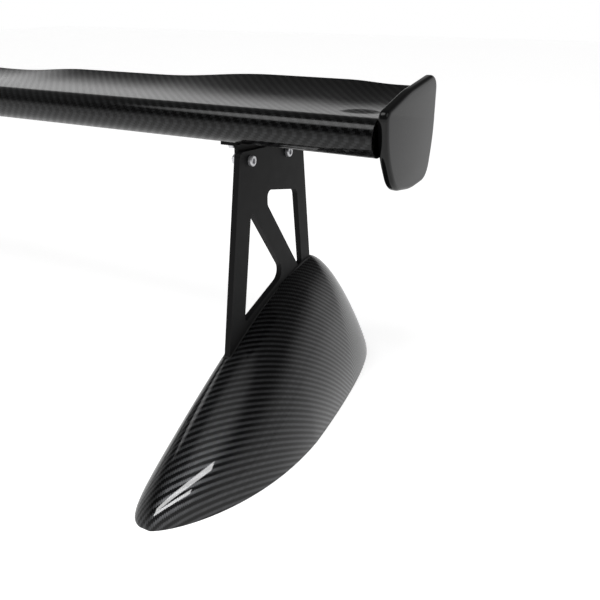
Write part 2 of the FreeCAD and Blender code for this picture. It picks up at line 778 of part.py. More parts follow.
def make_wing():
    """Skins, spar, ribs, mounting blocks, brackets and endplates, which tilt together."""
    upper_skin = along_span(lambda x: skin_wire(x, True))
    lower_skin = along_span(lambda x: skin_wire(x, False))
    cavity = along_span(cavity_wire)
    screw_x = (flange_inner + leg_inner) / 2.0
    block_start = screw_x - block_length / 2.0
    rib_x = half_span - end_rib_thickness
    spar = cavity.common(box(-rib_x, rib_x, spar_y, spar_y + spar_thickness, 0, above_all))
    block = cavity.common(box(block_start, block_start + block_length, block_front, block_rear, 0, above_all))
    block = block.cut(spar)
    rib = cavity.common(box(rib_x, half_span, -above_all, above_all, 0, above_all))

    # Brackets and the screws that hold them to the wing
    bracket = make_bracket()
    rear_room = thickness_at(screw_x, flange_screw_y[-1]) - skin_wall
    screw_length = flange_seat + rear_room - flange_screw_end_room
    flange_screws = []
    loose = flange_screw_radius + fixing_clearance
    for y in flange_screw_y:
        flange_screws.append(flange_screw(screw_x, y, flange_seat, flange_screw_radius, screw_length,
                                          flange_screw_head_radius, flange_screw_head_height,
                                          flange_screw_flats))
        bracket = bracket.cut(screw_hole(screw_x, y, flange_seat + overrun, overrun, loose))
        block = block.cut(screw_hole(screw_x, y, overrun, screw_length - flange_seat, flange_screw_radius))
        for side in (1.0, -1.0):
            lower_skin = lower_skin.cut(screw_hole(side * screw_x, y, overrun, skin_wall + overrun, loose))

    # Endplates and the angles that hold them
    endplate = make_endplate()
    tab_x = half_span - tab_length
    drop_x = endplate_inner - tab_thickness
    tab_mid_y = (tab_front + tab_rear) / 2.0
    tab_level = underside(half_span, tab_mid_y)[0].z
    drop = box(drop_x, endplate_inner, tab_front, tab_rear, tab_level - tab_drop, tab_level + tab_drop)
    drop = drop.common(room_below(drop_x, endplate_inner, tab_front - tab_thickness, tab_rear + tab_thickness,
                                  seat_gap + tab_thickness / 2.0))
    tab = under_wing(tab_x, endplate_inner, tab_front, tab_rear, tab_thickness)
    tab = tab.fuse(drop).removeSplitter()
    tab_screw_x = half_span - tab_length / 2.0 - tab_screw_inset
    tab_screw = flange_screw(tab_screw_x, tab_mid_y, tab_seat, tab_screw_radius, tab_screw_length,
                             tab_screw_head_radius, tab_screw_head_height, tab_screw_flats)
    side_z = tab_level - tab_drop * side_screw_share
    side_seat = V(drop_x, tab_mid_y, side_z)
    side_screw = socket_screw(side_seat, V(1, 0, 0), tab_screw_radius, tab_thickness + side_screw_depth,
                              tab_screw_head_radius, tab_screw_head_height, tab_screw_flats)
    loose = tab_screw_radius + fixing_clearance
    tab = tab.cut(screw_hole(tab_screw_x, tab_mid_y, tab_seat + overrun, overrun, loose))
    tab = tab.cut(rod_x(drop_x - overrun, endplate_inner + overrun, tab_mid_y, side_z, loose))
    endplate = endplate.cut(rod_x(endplate_inner - overrun, endplate_inner + side_screw_depth,
                                  tab_mid_y, side_z, tab_screw_radius))
    for side in (1.0, -1.0):
        lower_skin = lower_skin.cut(screw_hole(side * tab_screw_x, tab_mid_y,
                                               overrun, skin_wall + overrun, loose))
    rib = rib.cut(screw_hole(tab_screw_x, tab_mid_y, overrun, tab_screw_length - tab_seat, tab_screw_radius))

    export("wing_upper_skin", upper_skin)
    export("wing_lower_skin", lower_skin)
    export("wing_spar", spar)
    export_pair("wing_end_rib", rib)
    export_pair("wing_mount_blocks", block)
    export_pair("wing_bracket", bracket)
    export("bracket_screws", both_sides(flange_screws))
    export_pair("endplate", endplate)
    export_pair("endplate_angle", tab)
    export("endplate_angle_screws", both_sides([tab_screw, side_screw]))


def make_uprights():
    """Uprights with the pivot and clamp bolts."""
    export_pair("upright", make_upright())
    grip = plate_thickness + slide_gap + bracket_thickness + slide_gap
    pivot = m8_stack(plate_outer, pivot_y, pivot_z, grip)
    clamp = m8_stack(plate_outer, clamp_y, clamp_z, grip)
    for name, stack in (("pivot", pivot), ("clamp", clamp)):
        export(name + "_bolts", both_sides([stack[0]]))
        export(name + "_washers", both_sides([stack[1]]))
        export(name + "_nuts", both_sides([stack[2]]))


def make_feet():
    """Angles bolted to the uprights inside the pods, on rubber pads."""
    angle_outer = plate_outer + foot_width
    angle = box(plate_outer, plate_outer + foot_thickness, foot_front, foot_rear, plate_foot, foot_height)
    flange = box(plate_outer, angle_outer, foot_front, foot_rear, plate_foot, plate_foot + foot_thickness)
    angle = angle.fuse(flange).removeSplitter()
    pad = box(plate_inner - pad_margin, angle_outer + pad_margin,
              foot_front - pad_margin, foot_rear + pad_margin, 0, pad_thickness)
    for x in (stud_near, stud_far):
        for y in (stud_front, stud_rear):
            at = V(plate_outer + x, y, -overrun)
            angle = angle.cut(Part.makeCylinder(stud_hole_radius, foot_height, at))
            pad = pad.cut(Part.makeCylinder(pad_hole_radius, pad_thickness + 2.0 * overrun, at))
    stacks = []
    bolt_seat = plate_outer + foot_thickness
    for y in foot_bolt_y:
        angle = angle.cut(rod_x(plate_outer - overrun, bolt_seat + overrun, y, foot_bolt_z, m8_loose))
        stacks.append(m8_stack(bolt_seat, y, foot_bolt_z, plate_thickness + foot_thickness))
    export_pair("foot_angle", angle)
    export_pair("foot_pad", pad)
    export("foot_bolts", both_sides([stack[0] for stack in stacks]))
    export("foot_washers", both_sides([stack[1] for stack in stacks]))
    export("foot_nuts", both_sides([stack[2] for stack in stacks]))


def make_pods():
    """Hollow pods with a slot for each upright, and the seal in it."""
    slot = plate_yz(upright_outline(slot_clearance), plate_inner - slot_clearance,
                    plate_thickness + 2.0 * slot_clearance)
    solid_plate = plate_yz(upright_outline(0.0), plate_inner, plate_thickness)
    pod = pod_form(0.0).cut(pod_form(-pod_wall, -overrun)).cut(slot)
    seal = slot.cut(solid_plate).common(pod_form(seal_lip))
    seal = seal.cut(pod_form(-pod_wall - seal_depth, -overrun))
    export_pair("pod", pod)
    export_pair("pod_seal", seal)


def main():
    os.makedirs("parts", exist_ok=True)
    make_wing()
    make_uprights()
    make_feet()
    make_pods()


main()
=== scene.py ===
"""Looks of a racing rear wing: woven carbon airfoil, endplates and pods, black plates, steel bolts.

Lengths are in metres, in the frame of the solids: +X to the driver's left, +Y to the rear, +Z up.
"""

import json
import math

import bmesh
import bpy
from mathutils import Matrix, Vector
from mathutils.geometry import tessellate_polygon


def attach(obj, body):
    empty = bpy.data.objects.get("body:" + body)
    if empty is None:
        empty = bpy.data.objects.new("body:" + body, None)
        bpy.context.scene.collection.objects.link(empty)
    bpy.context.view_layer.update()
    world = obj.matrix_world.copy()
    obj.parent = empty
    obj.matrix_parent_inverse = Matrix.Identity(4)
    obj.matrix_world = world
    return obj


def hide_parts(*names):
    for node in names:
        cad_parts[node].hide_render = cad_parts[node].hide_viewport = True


bl_info = {
    "name": "Rear wing finish",
    "version": (1, 0, 0),
    "blender": (4, 5, 0),
    "location": "View3D > Sidebar > Rear wing",
    "description": "Dresses the rear wing in woven carbon, black plate and steel on a pale floor",
    "category": "Object",
}

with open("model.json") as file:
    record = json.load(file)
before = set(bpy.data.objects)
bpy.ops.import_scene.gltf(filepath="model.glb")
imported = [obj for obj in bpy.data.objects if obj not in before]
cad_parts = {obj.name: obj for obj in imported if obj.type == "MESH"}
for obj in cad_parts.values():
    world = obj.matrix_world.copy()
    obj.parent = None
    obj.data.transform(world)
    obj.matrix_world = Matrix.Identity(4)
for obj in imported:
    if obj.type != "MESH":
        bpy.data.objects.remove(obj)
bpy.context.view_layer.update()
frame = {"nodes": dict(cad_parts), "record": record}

# ---------------------------------------------------------------- shapes shared with the solids

STAND_DATUM = -0.0155        # the solids are drawn about this plane across the car
HALF_SPAN = 0.698

NOSE_Y = -0.027
NOSE_Z = 0.420
NOSE_RADIUS = 0.021
TAIL_Y = 0.115
TAIL_Z_CENTRE = 0.444
TAIL_Z_OUTER = 0.4595
TAIL_THICKNESS = 0.003
TAIL_RISE = (0.17, 0.40)     # upper surface, at the middle and over the stands
TOP_FRONT_HANDLE = 0.055
TOP_REAR_HANDLE = 0.050
BELLY_SLOPE = -0.364
BELLY_FRONT_HANDLE = 0.020
BELLY_REAR_HANDLE = 0.064
BELLY_RISE = (0.46, 0.62)
FIRST_RISE_END = 0.160
FIRST_RISE_SHARE = 0.42
SECOND_RISE_START = 0.290
OUTER_START = 0.500
TIP_START = 0.592            # the trailing edge sinks a little between these
TIP_END = 0.672
TIP_FALL = 0.003
WING_COLUMNS = 160           # mesh steps along the span
WING_NOSE_STEPS = 28         # round either half of the nose
WING_SURFACE_STEPS = 44      # along each surface behind it

BOLT_CENTRES = ((-0.0355, 0.3776), (0.0545, 0.37175))
BOLT_SEAT = 0.533            # outer face of the upright
BOLT_RADIUS = 0.004
BOLT_LENGTH = 0.0246
BOLT_HEAD_RADIUS = 0.0065
BOLT_HEAD_HEIGHT = 0.005
BOLT_SOCKET_FLATS = 0.006
BOLT_SOCKET_DEPTH = 0.003
BOLT_CHAMFER = 0.0006
BOLT_SIDES = 48

ENDPLATE_INNER = 0.6982
ENDPLATE_THICKNESS = 0.012
ENDPLATE_OUTER_ROUND = 0.005
ENDPLATE_INNER_ROUND = 0.0035
ENDPLATE_ROUND_STEPS = 8
ENDPLATE_ARC_STEP = 0.002    # between points along the outline's arcs
ENDPLATE_ARC_TURN = 0.12     # and the most that it turns between them, in radians
ENDPLATE_SHARP = 0.9         # edges that turn more than this stay sharp, in radians
MERGE_DISTANCE = 1e-7
ENDPLATE_OUTLINE = [         # corners (Y, Z) and the radius that rounds each
    (-0.0360, 0.448, 0.012),
    (0.0310, 0.463, 0.250),
    (0.1255, 0.474, 0.017),
    (0.1265, 0.400, 0.140),
    (0.1120, 0.348, 0.026),
    (0.0560, 0.347, 0.150),
    (0.0000, 0.357, 0.042),
    (-0.0300, 0.403, 0.150),
]

STAND_X = 0.529
POD_FRONT = 0.259
POD_REAR = 0.290
POD_OUTER_WIDTH = 0.0954
POD_INNER_WIDTH = 0.042
POD_WIDEST = -0.0187
POD_PLAN = (2.2, 1.37)
POD_REAR_PLAN = (1.2, 3.5)
POD_INNER_PLAN = (9.0, 2.4)
POD_RIDGE = 0.191
POD_RIDGE_RISE = 0.106
POD_BROW = 0.0865
POD_BROW_FALL = (1.7, 1.37)
POD_CREST = 0.1347
POD_CREST_FALL = (1.5, 1.1)
POD_SIDE_POWER = 1.6
POD_INNER_SIDE_POWER = 1.7
POD_SECTIONS = 13
POD_END_SHARE = 0.35
POD_ARCH_STEPS = 56          # mesh steps along either half of a section
POD_LENGTH_STEPS = 200
POD_SHARP = 1.2

UV_NAME = "weave"


# ---------------------------------------------------------------- settings


class WingCarbonSettings(bpy.types.PropertyGroup):
    """Cloth and lacquer of the carbon pieces."""

    wing_tow: bpy.props.FloatProperty(
        name="Wing tow width", description="Width of one tow in the wing's cloth",
        default=0.0031, min=0.0005, max=0.01, unit="LENGTH", precision=5)
    pod_tow: bpy.props.FloatProperty(
        name="Pod tow width", description="Width of one tow in the pods' cloth",
        default=0.00205, min=0.0005, max=0.01, unit="LENGTH", precision=5)
    wing_bright_tow: bpy.props.FloatVectorProperty(
        name="Wing lengthwise tow", description="Colour of the tows that run along the wing",
        default=(0.020, 0.0204, 0.0212), min=0.0, max=1.0, size=3, subtype="COLOR")
    pod_bright_tow: bpy.props.FloatVectorProperty(
        name="Pod lengthwise tow", description="Colour of the tows that run along a pod",
        default=(0.048, 0.049, 0.051), min=0.0, max=1.0, size=3, subtype="COLOR")
    dark_tow: bpy.props.FloatVectorProperty(
        name="Crosswise tow", description="Colour of the tows that run across a piece",
        default=(0.003, 0.003, 0.0032), min=0.0, max=1.0, size=3, subtype="COLOR")
    plain_colour: bpy.props.FloatVectorProperty(
        name="Endplate colour", description="Base colour of the endplates under their lacquer",
        default=(0.030, 0.0303, 0.031), min=0.0, max=1.0, size=3, subtype="COLOR")
    lacquer_weight: bpy.props.FloatProperty(
        name="Lacquer weight", description="How strongly the clear lacquer mirrors",
        default=0.5, min=0.0, max=1.0, subtype="FACTOR")
    lacquer_roughness: bpy.props.FloatProperty(
        name="Lacquer roughness", description="Roughness of the clear lacquer",
        default=0.035, min=0.0, max=1.0, subtype="FACTOR")


class WingMetalSettings(bpy.types.PropertyGroup):
    """Plates, bolts and rubber."""

    plate_colour: bpy.props.FloatVectorProperty(
        name="Plate colour", description="Black anodised plate",
        default=(0.006, 0.006, 0.0063), min=0.0, max=1.0, size=3, subtype="COLOR")
    steel_colour: bpy.props.FloatVectorProperty(
        name="Steel colour", description="Bolts, washers and nuts",
        default=(0.62, 0.62, 0.64), min=0.0, max=1.0, size=3, subtype="COLOR")
    rubber_colour: bpy.props.FloatVectorProperty(
        name="Rubber colour", description="Seals and foot pads",
        default=(0.012, 0.012, 0.012), min=0.0, max=1.0, size=3, subtype="COLOR")


class WingStageSettings(bpy.types.PropertyGroup):
    """Floor and studio light."""

    floor_colour: bpy.props.FloatVectorProperty(
        name="Floor colour", description="Pale studio floor",
        default=(0.90, 0.90, 0.90), min=0.0, max=1.0, size=3, subtype="COLOR")
    fill_strength: bpy.props.FloatProperty(
        name="Fill", description="Strength of the even light from all round",
        default=0.35, min=0.0, max=5.0)
    wall_strength: bpy.props.FloatProperty(
        name="Ceiling", description="How bright the studio above the backdrop shows in the lacquer",
        default=0.10, min=0.0, max=5.0)
    tube_radiance: bpy.props.FloatProperty(
        name="Tubes", description="How bright the long tubes in front show in the lacquer",
        default=26.0, min=0.0, max=100.0)
    floor_glow: bpy.props.FloatProperty(
        name="Floor glow", description="What the floor adds to its lit colour to show white",
        default=0.66, min=0.0, max=1.0)
    key_power: bpy.props.FloatProperty(
        name="Key light", description="Power of the soft light above the front",
        default=30.0, min=0.0, max=500.0, unit="POWER")


# ---------------------------------------------------------------- helpers


def ease(t):
    """Smooth step from 0 to 1."""
    t = min(max(t, 0.0), 1.0)
    return t * t * t * (10.0 + t * (6.0 * t - 15.0))


def falling(t, power, root):
    """1 at t = 0 and 0 at t = 1, with a round or a pointed end."""
    t = min(max(t, 0.0), 1.0)
    return (1.0 - t ** power) ** (1.0 / root)


def bezier(a, b, c, d, t):
    s = 1.0 - t
    return a * (s * s * s) + b * (3.0 * s * s * t) + c * (3.0 * s * t * t) + d * (t * t * t)


def new_piece(name, verts, faces, material, uvs=None, sharp=0.6):
    """Smooth mesh object; uvs gives one (u, v) per face corner."""
    mesh = bpy.data.meshes.new(name)
    mesh.from_pydata(verts, [], faces)
    if uvs is not None:
        layer = mesh.uv_layers.new(name=UV_NAME)
        layer.data.foreach_set("uv", [c for pair in uvs for c in pair])
    mesh.validate()
    mesh.update()
    mesh.shade_smooth()
    mesh.set_sharp_from_angle(angle=sharp)
    mesh.materials.append(material)
    piece = bpy.data.objects.new(name, mesh)
    bpy.context.scene.collection.objects.link(piece)
    return piece


def mirror_piece(piece, name):
    """The same piece on the other side of the car, its faces still pointing outwards."""
    mesh = piece.data.copy()
    mesh.name = name
    for vertex in mesh.vertices:
        vertex.co.x = -vertex.co.x
    mesh.flip_normals()
    other = bpy.data.objects.new(name, mesh)
    bpy.context.scene.collection.objects.link(other)
    return other


def settle(piece, body, slot, *nodes):
    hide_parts(*nodes)
    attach(piece, body)


# ---------------------------------------------------------------- materials


def shader_nodes(name):
    material = bpy.data.materials.new(name)
    material.use_nodes = True
    tree = material.node_tree
    return material, tree, tree.nodes["Principled BSDF"]


def add(tree, kind, **values):
    node = tree.nodes.new(kind)
    for key, value in values.items():
        setattr(node, key, value)
    return node


def calc(tree, operation, *inputs):
    """A Math node; each input is a number or a socket."""
    node = add(tree, "ShaderNodeMath", operation=operation)
    for k, value in enumerate(inputs):
        if isinstance(value, (int, float)):
            node.inputs[k].default_value = value
        else:
            tree.links.new(value, node.inputs[k])
    return node.outputs[0]


def ramp(tree, value, start, end, low, high):
    """Smooth change from low to high while the value goes from start to end."""
    node = add(tree, "ShaderNodeMapRange", interpolation_type="SMOOTHSTEP")
    tree.links.new(value, node.inputs["Value"])
    for name, number in (("From Min", start), ("From Max", end), ("To Min", low), ("To Max", high)):
        node.inputs[name].default_value = number
    return node.outputs[0]


def mix_colours(tree, factor, low, high):
    node = add(tree, "ShaderNodeMix", data_type="RGBA")
    tree.links.new(factor, node.inputs[0])
    for socket, value in ((node.inputs[6], low), (node.inputs[7], high)):
        if isinstance(value, (tuple, list)):
            socket.default_value = value
        else:
            tree.links.new(value, socket)
    return node.outputs[2]


def twill(tree, u, v, tow):
    """2 by 2 twill from two lengths along the cloth.
    Gives which tow is on top, the height of the cloth and a number for each tow."""
    a = calc(tree, "DIVIDE", u, tow)
    b = calc(tree, "DIVIDE", v, tow)
    column = calc(tree, "FLOOR", a)
    row = calc(tree, "FLOOR", b)
    order = calc(tree, "FLOORED_MODULO", calc(tree, "SUBTRACT", column, row), 4.0)
    lengthwise = calc(tree, "LESS_THAN", order, 2.0)
    across_b = calc(tree, "SINE", calc(tree, "MULTIPLY", calc(tree, "FRACT", b), math.pi))
    across_a = calc(tree, "SINE", calc(tree, "MULTIPLY", calc(tree, "FRACT", a), math.pi))
    float_a = calc(tree, "FLOORED_MODULO", calc(tree, "SUBTRACT", a, row), 4.0)
    along_a = calc(tree, "SINE", calc(tree, "MULTIPLY", float_a, math.pi / 2.0))
    float_b = calc(tree, "FLOORED_MODULO", calc(tree, "SUBTRACT", column, b), 4.0)
    along_b = calc(tree, "SINE", calc(tree, "MULTIPLY", calc(tree, "SUBTRACT", float_b, 1.0), math.pi / 2.0))
    high_a = calc(tree, "MULTIPLY", calc(tree, "POWER", calc(tree, "MAXIMUM", across_b, 0.0), 0.5),
                  calc(tree, "POWER", calc(tree, "MAXIMUM", along_a, 0.0), 0.5))
    high_b = calc(tree, "MULTIPLY", calc(tree, "POWER", calc(tree, "MAXIMUM", across_a, 0.0), 0.5),
                  calc(tree, "POWER", calc(tree, "MAXIMUM", along_b, 0.0), 0.5))
    height = calc(tree, "ADD", calc(tree, "MULTIPLY", high_a, lengthwise),
                  calc(tree, "MULTIPLY", high_b, calc(tree, "SUBTRACT", 1.0, lengthwise)))
    number = add(tree, "ShaderNodeCombineXYZ")
    tree.links.new(calc(tree, "MULTIPLY", row, lengthwise), number.inputs[0])
    tree.links.new(calc(tree, "MULTIPLY", column, calc(tree, "SUBTRACT", 1.0, lengthwise)), number.inputs[1])
    tree.links.new(lengthwise, number.inputs[2])
    return lengthwise, height, number.outputs[0]


def carbon_material(name, tow, bright_tow, mirrored_cloth, settings):
    """Woven carbon under clear lacquer, on the piece's own UV map in metres."""
    material, tree, shader = shader_nodes(name)
    uv = add(tree, "ShaderNodeUVMap", uv_map=UV_NAME)
    split = add(tree, "ShaderNodeSeparateXYZ")
    tree.links.new(uv.outputs[0], split.inputs[0])
    u, v = split.outputs[0], split.outputs[1]
    if mirrored_cloth:
        v = calc(tree, "MULTIPLY", calc(tree, "ABSOLUTE", v), -1.0)
    lengthwise, height, number = twill(tree, u, v, tow)
    shade = add(tree, "ShaderNodeTexWhiteNoise", noise_dimensions="3D")
    tree.links.new(number, shade.inputs[0])
    vary = calc(tree, "ADD", calc(tree, "MULTIPLY", shade.outputs[0], 0.25), 0.80)
    level = calc(tree, "MULTIPLY", calc(tree, "ADD", calc(tree, "MULTIPLY", height, 0.65), 0.35), vary)
    colour = mix_colours(tree, lengthwise, (*settings.dark_tow, 1.0), (*bright_tow, 1.0))
    scaled = add(tree, "ShaderNodeVectorMath", operation="SCALE")
    tree.links.new(colour, scaled.inputs[0])
    tree.links.new(level, scaled.inputs["Scale"])
    tree.links.new(scaled.outputs[0], shader.inputs["Base Color"])
    rough = calc(tree, "ADD", calc(tree, "MULTIPLY", lengthwise, -0.10), 0.52)
    tree.links.new(rough, shader.inputs["Roughness"])
    bump = add(tree, "ShaderNodeBump")
    bump.inputs["Strength"].default_value = 0.35
    bump.inputs["Distance"].default_value = 0.0002
    tree.links.new(height, bump.inputs["Height"])
    tree.links.new(bump.outputs[0], shader.inputs["Normal"])
    shader.inputs["Metallic"].default_value = 1.0
    shader.inputs["Coat Weight"].default_value = settings.lacquer_weight
    shader.inputs["Coat Roughness"].default_value = settings.lacquer_roughness
    shader.inputs["Coat IOR"].default_value = 1.5
    return material


def plain_carbon_material(settings):
    """Endplates: very fine cloth that hardly shows under the lacquer, with painted shade on the rounded rims.
    """
    material, tree, shader = shader_nodes("plain_carbon")
    place = add(tree, "ShaderNodeTexCoord")
    noise = add(tree, "ShaderNodeTexNoise")
    noise.inputs["Scale"].default_value = 900.0
    tree.links.new(place.outputs["Object"], noise.inputs["Vector"])
    low = tuple(c * 0.8 for c in settings.plain_colour) + (1.0,)
    high = tuple(c * 1.25 for c in settings.plain_colour) + (1.0,)
    # Painted shade: the base colour falls to 0.12 of itself on the rounded rims, where the surface turns away
    # from X. It stands in for the dark reflection along the edges.
    surface = add(tree, "ShaderNodeNewGeometry")
    direction = add(tree, "ShaderNodeSeparateXYZ")
    tree.links.new(surface.outputs["Normal"], direction.inputs[0])
    facing = calc(tree, "ABSOLUTE", direction.outputs[0])
    flat = ramp(tree, facing, 0.55, 1.0, 0.12, 1.0)
    shaded = add(tree, "ShaderNodeVectorMath", operation="SCALE")
    tree.links.new(mix_colours(tree, noise.outputs[0], low, high), shaded.inputs[0])
    tree.links.new(flat, shaded.inputs["Scale"])
    tree.links.new(shaded.outputs[0], shader.inputs["Base Color"])
    shader.inputs["Roughness"].default_value = 0.45
    shader.inputs["Specular IOR Level"].default_value = 0.0
    shader.inputs["Coat Weight"].default_value = settings.lacquer_weight
    shader.inputs["Coat Roughness"].default_value = settings.lacquer_roughness
    return material


def plate_material(settings):
    """Black anodised plate with a faint mottle."""
    material, tree, shader = shader_nodes("black_plate")
    place = add(tree, "ShaderNodeTexCoord")
    noise = add(tree, "ShaderNodeTexNoise")
    noise.inputs["Scale"].default_value = 60.0
    noise.inputs["Detail"].default_value = 6.0
    tree.links.new(place.outputs["Object"], noise.inputs["Vector"])
    low = tuple(c * 0.85 for c in settings.plate_colour) + (1.0,)
    high = tuple(c * 1.15 for c in settings.plate_colour) + (1.0,)
    tree.links.new(mix_colours(tree, noise.outputs[0], low, high), shader.inputs["Base Color"])
    tree.links.new(calc(tree, "ADD", calc(tree, "MULTIPLY", noise.outputs[0], 0.12), 0.42),
                   shader.inputs["Roughness"])
    grain = add(tree, "ShaderNodeTexNoise")
    grain.inputs["Scale"].default_value = 2500.0
    tree.links.new(place.outputs["Object"], grain.inputs["Vector"])
    bump = add(tree, "ShaderNodeBump")
    bump.inputs["Strength"].default_value = 0.08
    bump.inputs["Distance"].default_value = 0.0001
    tree.links.new(grain.outputs[0], bump.inputs["Height"])
    tree.links.new(bump.outputs[0], shader.inputs["Normal"])
    shader.inputs["Specular IOR Level"].default_value = 0.08
    return material


def steel_material(settings):
    """Turned steel with a fine random mottle in colour and roughness."""
    material, tree, shader = shader_nodes("bolt_steel")
    place = add(tree, "ShaderNodeTexCoord")
    noise = add(tree, "ShaderNodeTexNoise")
    noise.inputs["Scale"].default_value = 400.0
    noise.inputs["Detail"].default_value = 3.0
    tree.links.new(place.outputs["Object"], noise.inputs["Vector"])
    low = tuple(c * 0.85 for c in settings.steel_colour) + (1.0,)
    tree.links.new(mix_colours(tree, noise.outputs[0], low, (*settings.steel_colour, 1.0)),
                   shader.inputs["Base Color"])
    tree.links.new(calc(tree, "ADD", calc(tree, "MULTIPLY", noise.outputs[0], 0.15), 0.22),
                   shader.inputs["Roughness"])
    shader.inputs["Metallic"].default_value = 0.6
    return material


def soft_material(name, colour, scale, roughness):
    """Matt material with a fine even grain, for rubber, foam and paste."""
    material, tree, shader = shader_nodes(name)
    place = add(tree, "ShaderNodeTexCoord")
    noise = add(tree, "ShaderNodeTexNoise")
    noise.inputs["Scale"].default_value = scale
    tree.links.new(place.outputs["Object"], noise.inputs["Vector"])
    low = tuple(c * 0.8 for c in colour) + (1.0,)
    high = tuple(min(c * 1.2, 1.0) for c in colour) + (1.0,)
    tree.links.new(mix_colours(tree, noise.outputs[0], low, high), shader.inputs["Base Color"])
    bump = add(tree, "ShaderNodeBump")
    bump.inputs["Strength"].default_value = 0.2
    bump.inputs["Distance"].default_value = 0.0003
    tree.links.new(noise.outputs[0], bump.inputs["Height"])
    tree.links.new(bump.outputs[0], shader.inputs["Normal"])
    shader.inputs["Roughness"].default_value = roughness
    return material


# ---------------------------------------------------------------- wing


def outer_share(x):
    """0 in the middle of the wing and 1 over the stands and beyond, reached in two steps."""
    first = ease(abs(x) / FIRST_RISE_END)
    second = ease((abs(x) - SECOND_RISE_START) / (OUTER_START - SECOND_RISE_START))
    return FIRST_RISE_SHARE * first + (1.0 - FIRST_RISE_SHARE) * second


def on_nose(angle, up):
    return Vector((NOSE_Y + NOSE_RADIUS * math.cos(angle), NOSE_Z + up * NOSE_RADIUS * math.sin(angle)))


def wing_surface(x, top, nose_steps, surface_steps):
    """(y, z) points of one outer surface from the leading edge to the tail."""
    share = outer_share(x)
    tail_z = TAIL_Z_CENTRE + (TAIL_Z_OUTER - TAIL_Z_CENTRE) * share
    tail_z -= TIP_FALL * ease((abs(x) - TIP_START) / (TIP_END - TIP_START))
    up = 1.0 if top else -1.0
    leave = math.radians(90.0) if top else math.radians(90.0) - math.atan(BELLY_SLOPE)
    points = []
    for k in range(nose_steps):
        angle = math.radians(180.0) + (leave - math.radians(180.0)) * k / nose_steps
        points.append(on_nose(angle, up))
    start = on_nose(leave, up)
    end = Vector((TAIL_Y, tail_z + up * TAIL_THICKNESS / 2.0))
    rises = TAIL_RISE if top else BELLY_RISE
    rise = rises[0] + (rises[1] - rises[0]) * share
    if top:
        front = start + Vector((TOP_FRONT_HANDLE, 0.0))
        rear = end - Vector((TOP_REAR_HANDLE, TOP_REAR_HANDLE * rise))
    else:
        front = start + Vector((BELLY_FRONT_HANDLE, BELLY_FRONT_HANDLE * BELLY_SLOPE))
        rear = end - Vector((BELLY_REAR_HANDLE, BELLY_REAR_HANDLE * rise))
    for k in range(surface_steps + 1):
        points.append(bezier(start, front, rear, end, k / surface_steps))
    return points


def wing_ring(x, nose_steps, surface_steps):
    """Section from the tail's underside round the nose to its top, with the length from the nose."""
    top = wing_surface(x, True, nose_steps, surface_steps)
    bottom = wing_surface(x, False, nose_steps, surface_steps)
    ring = []
    girth = [0.0]
    for k in range(1, len(bottom)):
        girth.append(girth[-1] - (bottom[k] - bottom[k - 1]).length)
    for k in range(len(bottom) - 1, 0, -1):
        ring.append((bottom[k], girth[k]))
    length = 0.0
    for k in range(len(top)):
        if k:
            length += (top[k] - top[k - 1]).length
        ring.append((top[k], length))
    return ring


class WING_OT_make_wing(bpy.types.Operator):
    """Builds the outer skin of the wing, smooth and with its cloth laid out"""

    bl_idname = "wing.make_wing"
    bl_label = "Wing skin"

    def execute(self, context):
        settings = context.scene.wing_carbon
        material = carbon_material("carbon_wing", settings.wing_tow, settings.wing_bright_tow, True, settings)
        columns = WING_COLUMNS
        verts, faces, uvs = [], [], []
        rings = []
        for k in range(columns + 1):
            x = -HALF_SPAN + 2.0 * HALF_SPAN * k / columns
            rings.append((x, wing_ring(x, WING_NOSE_STEPS, WING_SURFACE_STEPS)))
        count = len(rings[0][1])
        for x, ring in rings:
            for point, girth in ring:
                verts.append((x, point.x + STAND_DATUM, point.y))
        for k in range(columns):
            for j in range(count):
                following = (j + 1) % count
                faces.append((k * count + j, (k + 1) * count + j,
                              (k + 1) * count + following, k * count + following))
                for ring_index, point_index in ((k, j), (k + 1, j), (k + 1, j + 1), (k, j + 1)):
                    x, ring = rings[ring_index]
                    girth = ring[point_index][1] if point_index < count else ring[-1][1] + TAIL_THICKNESS
                    uvs.append((x, girth))
        for k in (0, columns):
            order = range(count) if k == 0 else range(count - 1, -1, -1)
            faces.append(tuple(k * count + j for j in order))
            uvs.extend((rings[k][1][j][0].x, rings[k][1][j][0].y) for j in order)
        piece = new_piece("wing_skin", verts, faces, material, uvs)
        settle(piece, "wing", "carbon", "wing_upper_skin", "wing_lower_skin")
        return {"FINISHED"}


# ---------------------------------------------------------------- endplates


def rounded_outline(corners, arc_step):
    """Points of a closed outline, anticlockwise or clockwise as its corners are given."""
    points = []
    count = len(corners)
    for k in range(count):
        y, z, radius = corners[k]
        here = Vector((y, z))
        before = Vector(corners[k - 1][:2]) - here
        after = Vector(corners[(k + 1) % count][:2]) - here
        shorter = min(before.length, after.length)
        before.normalize()
        after.normalize()
        half = before.angle(after) / 2.0
        reach = min(radius / math.tan(half), 0.495 * shorter)
        radius = reach * math.tan(half)
        centre = here + (before + after).normalized() * (radius / math.sin(half))
        start = here + before * reach - centre
        turn = (here + after * reach - centre).angle_signed(start)
        steps = max(3, int(abs(turn) * radius / arc_step), int(abs(turn) / ENDPLATE_ARC_TURN))
        for step in range(steps + 1):
            angle = turn * step / steps
            points.append(centre + Vector((start.x * math.cos(angle) - start.y * math.sin(angle),
                                           start.x * math.sin(angle) + start.y * math.cos(angle))))
    return points


def outward_normals(points):
    area = sum(points[k - 1].x * points[k].y - points[k].x * points[k - 1].y for k in range(len(points)))
    sign = 1.0 if area > 0.0 else -1.0
    normals = []
    for k in range(len(points)):
        ahead = (points[(k + 1) % len(points)] - points[k]).normalized()
        behind = (points[k] - points[k - 1]).normalized()
        along = (ahead + behind).normalized()
        normals.append(Vector((along.y, -along.x)) * sign)
    return normals


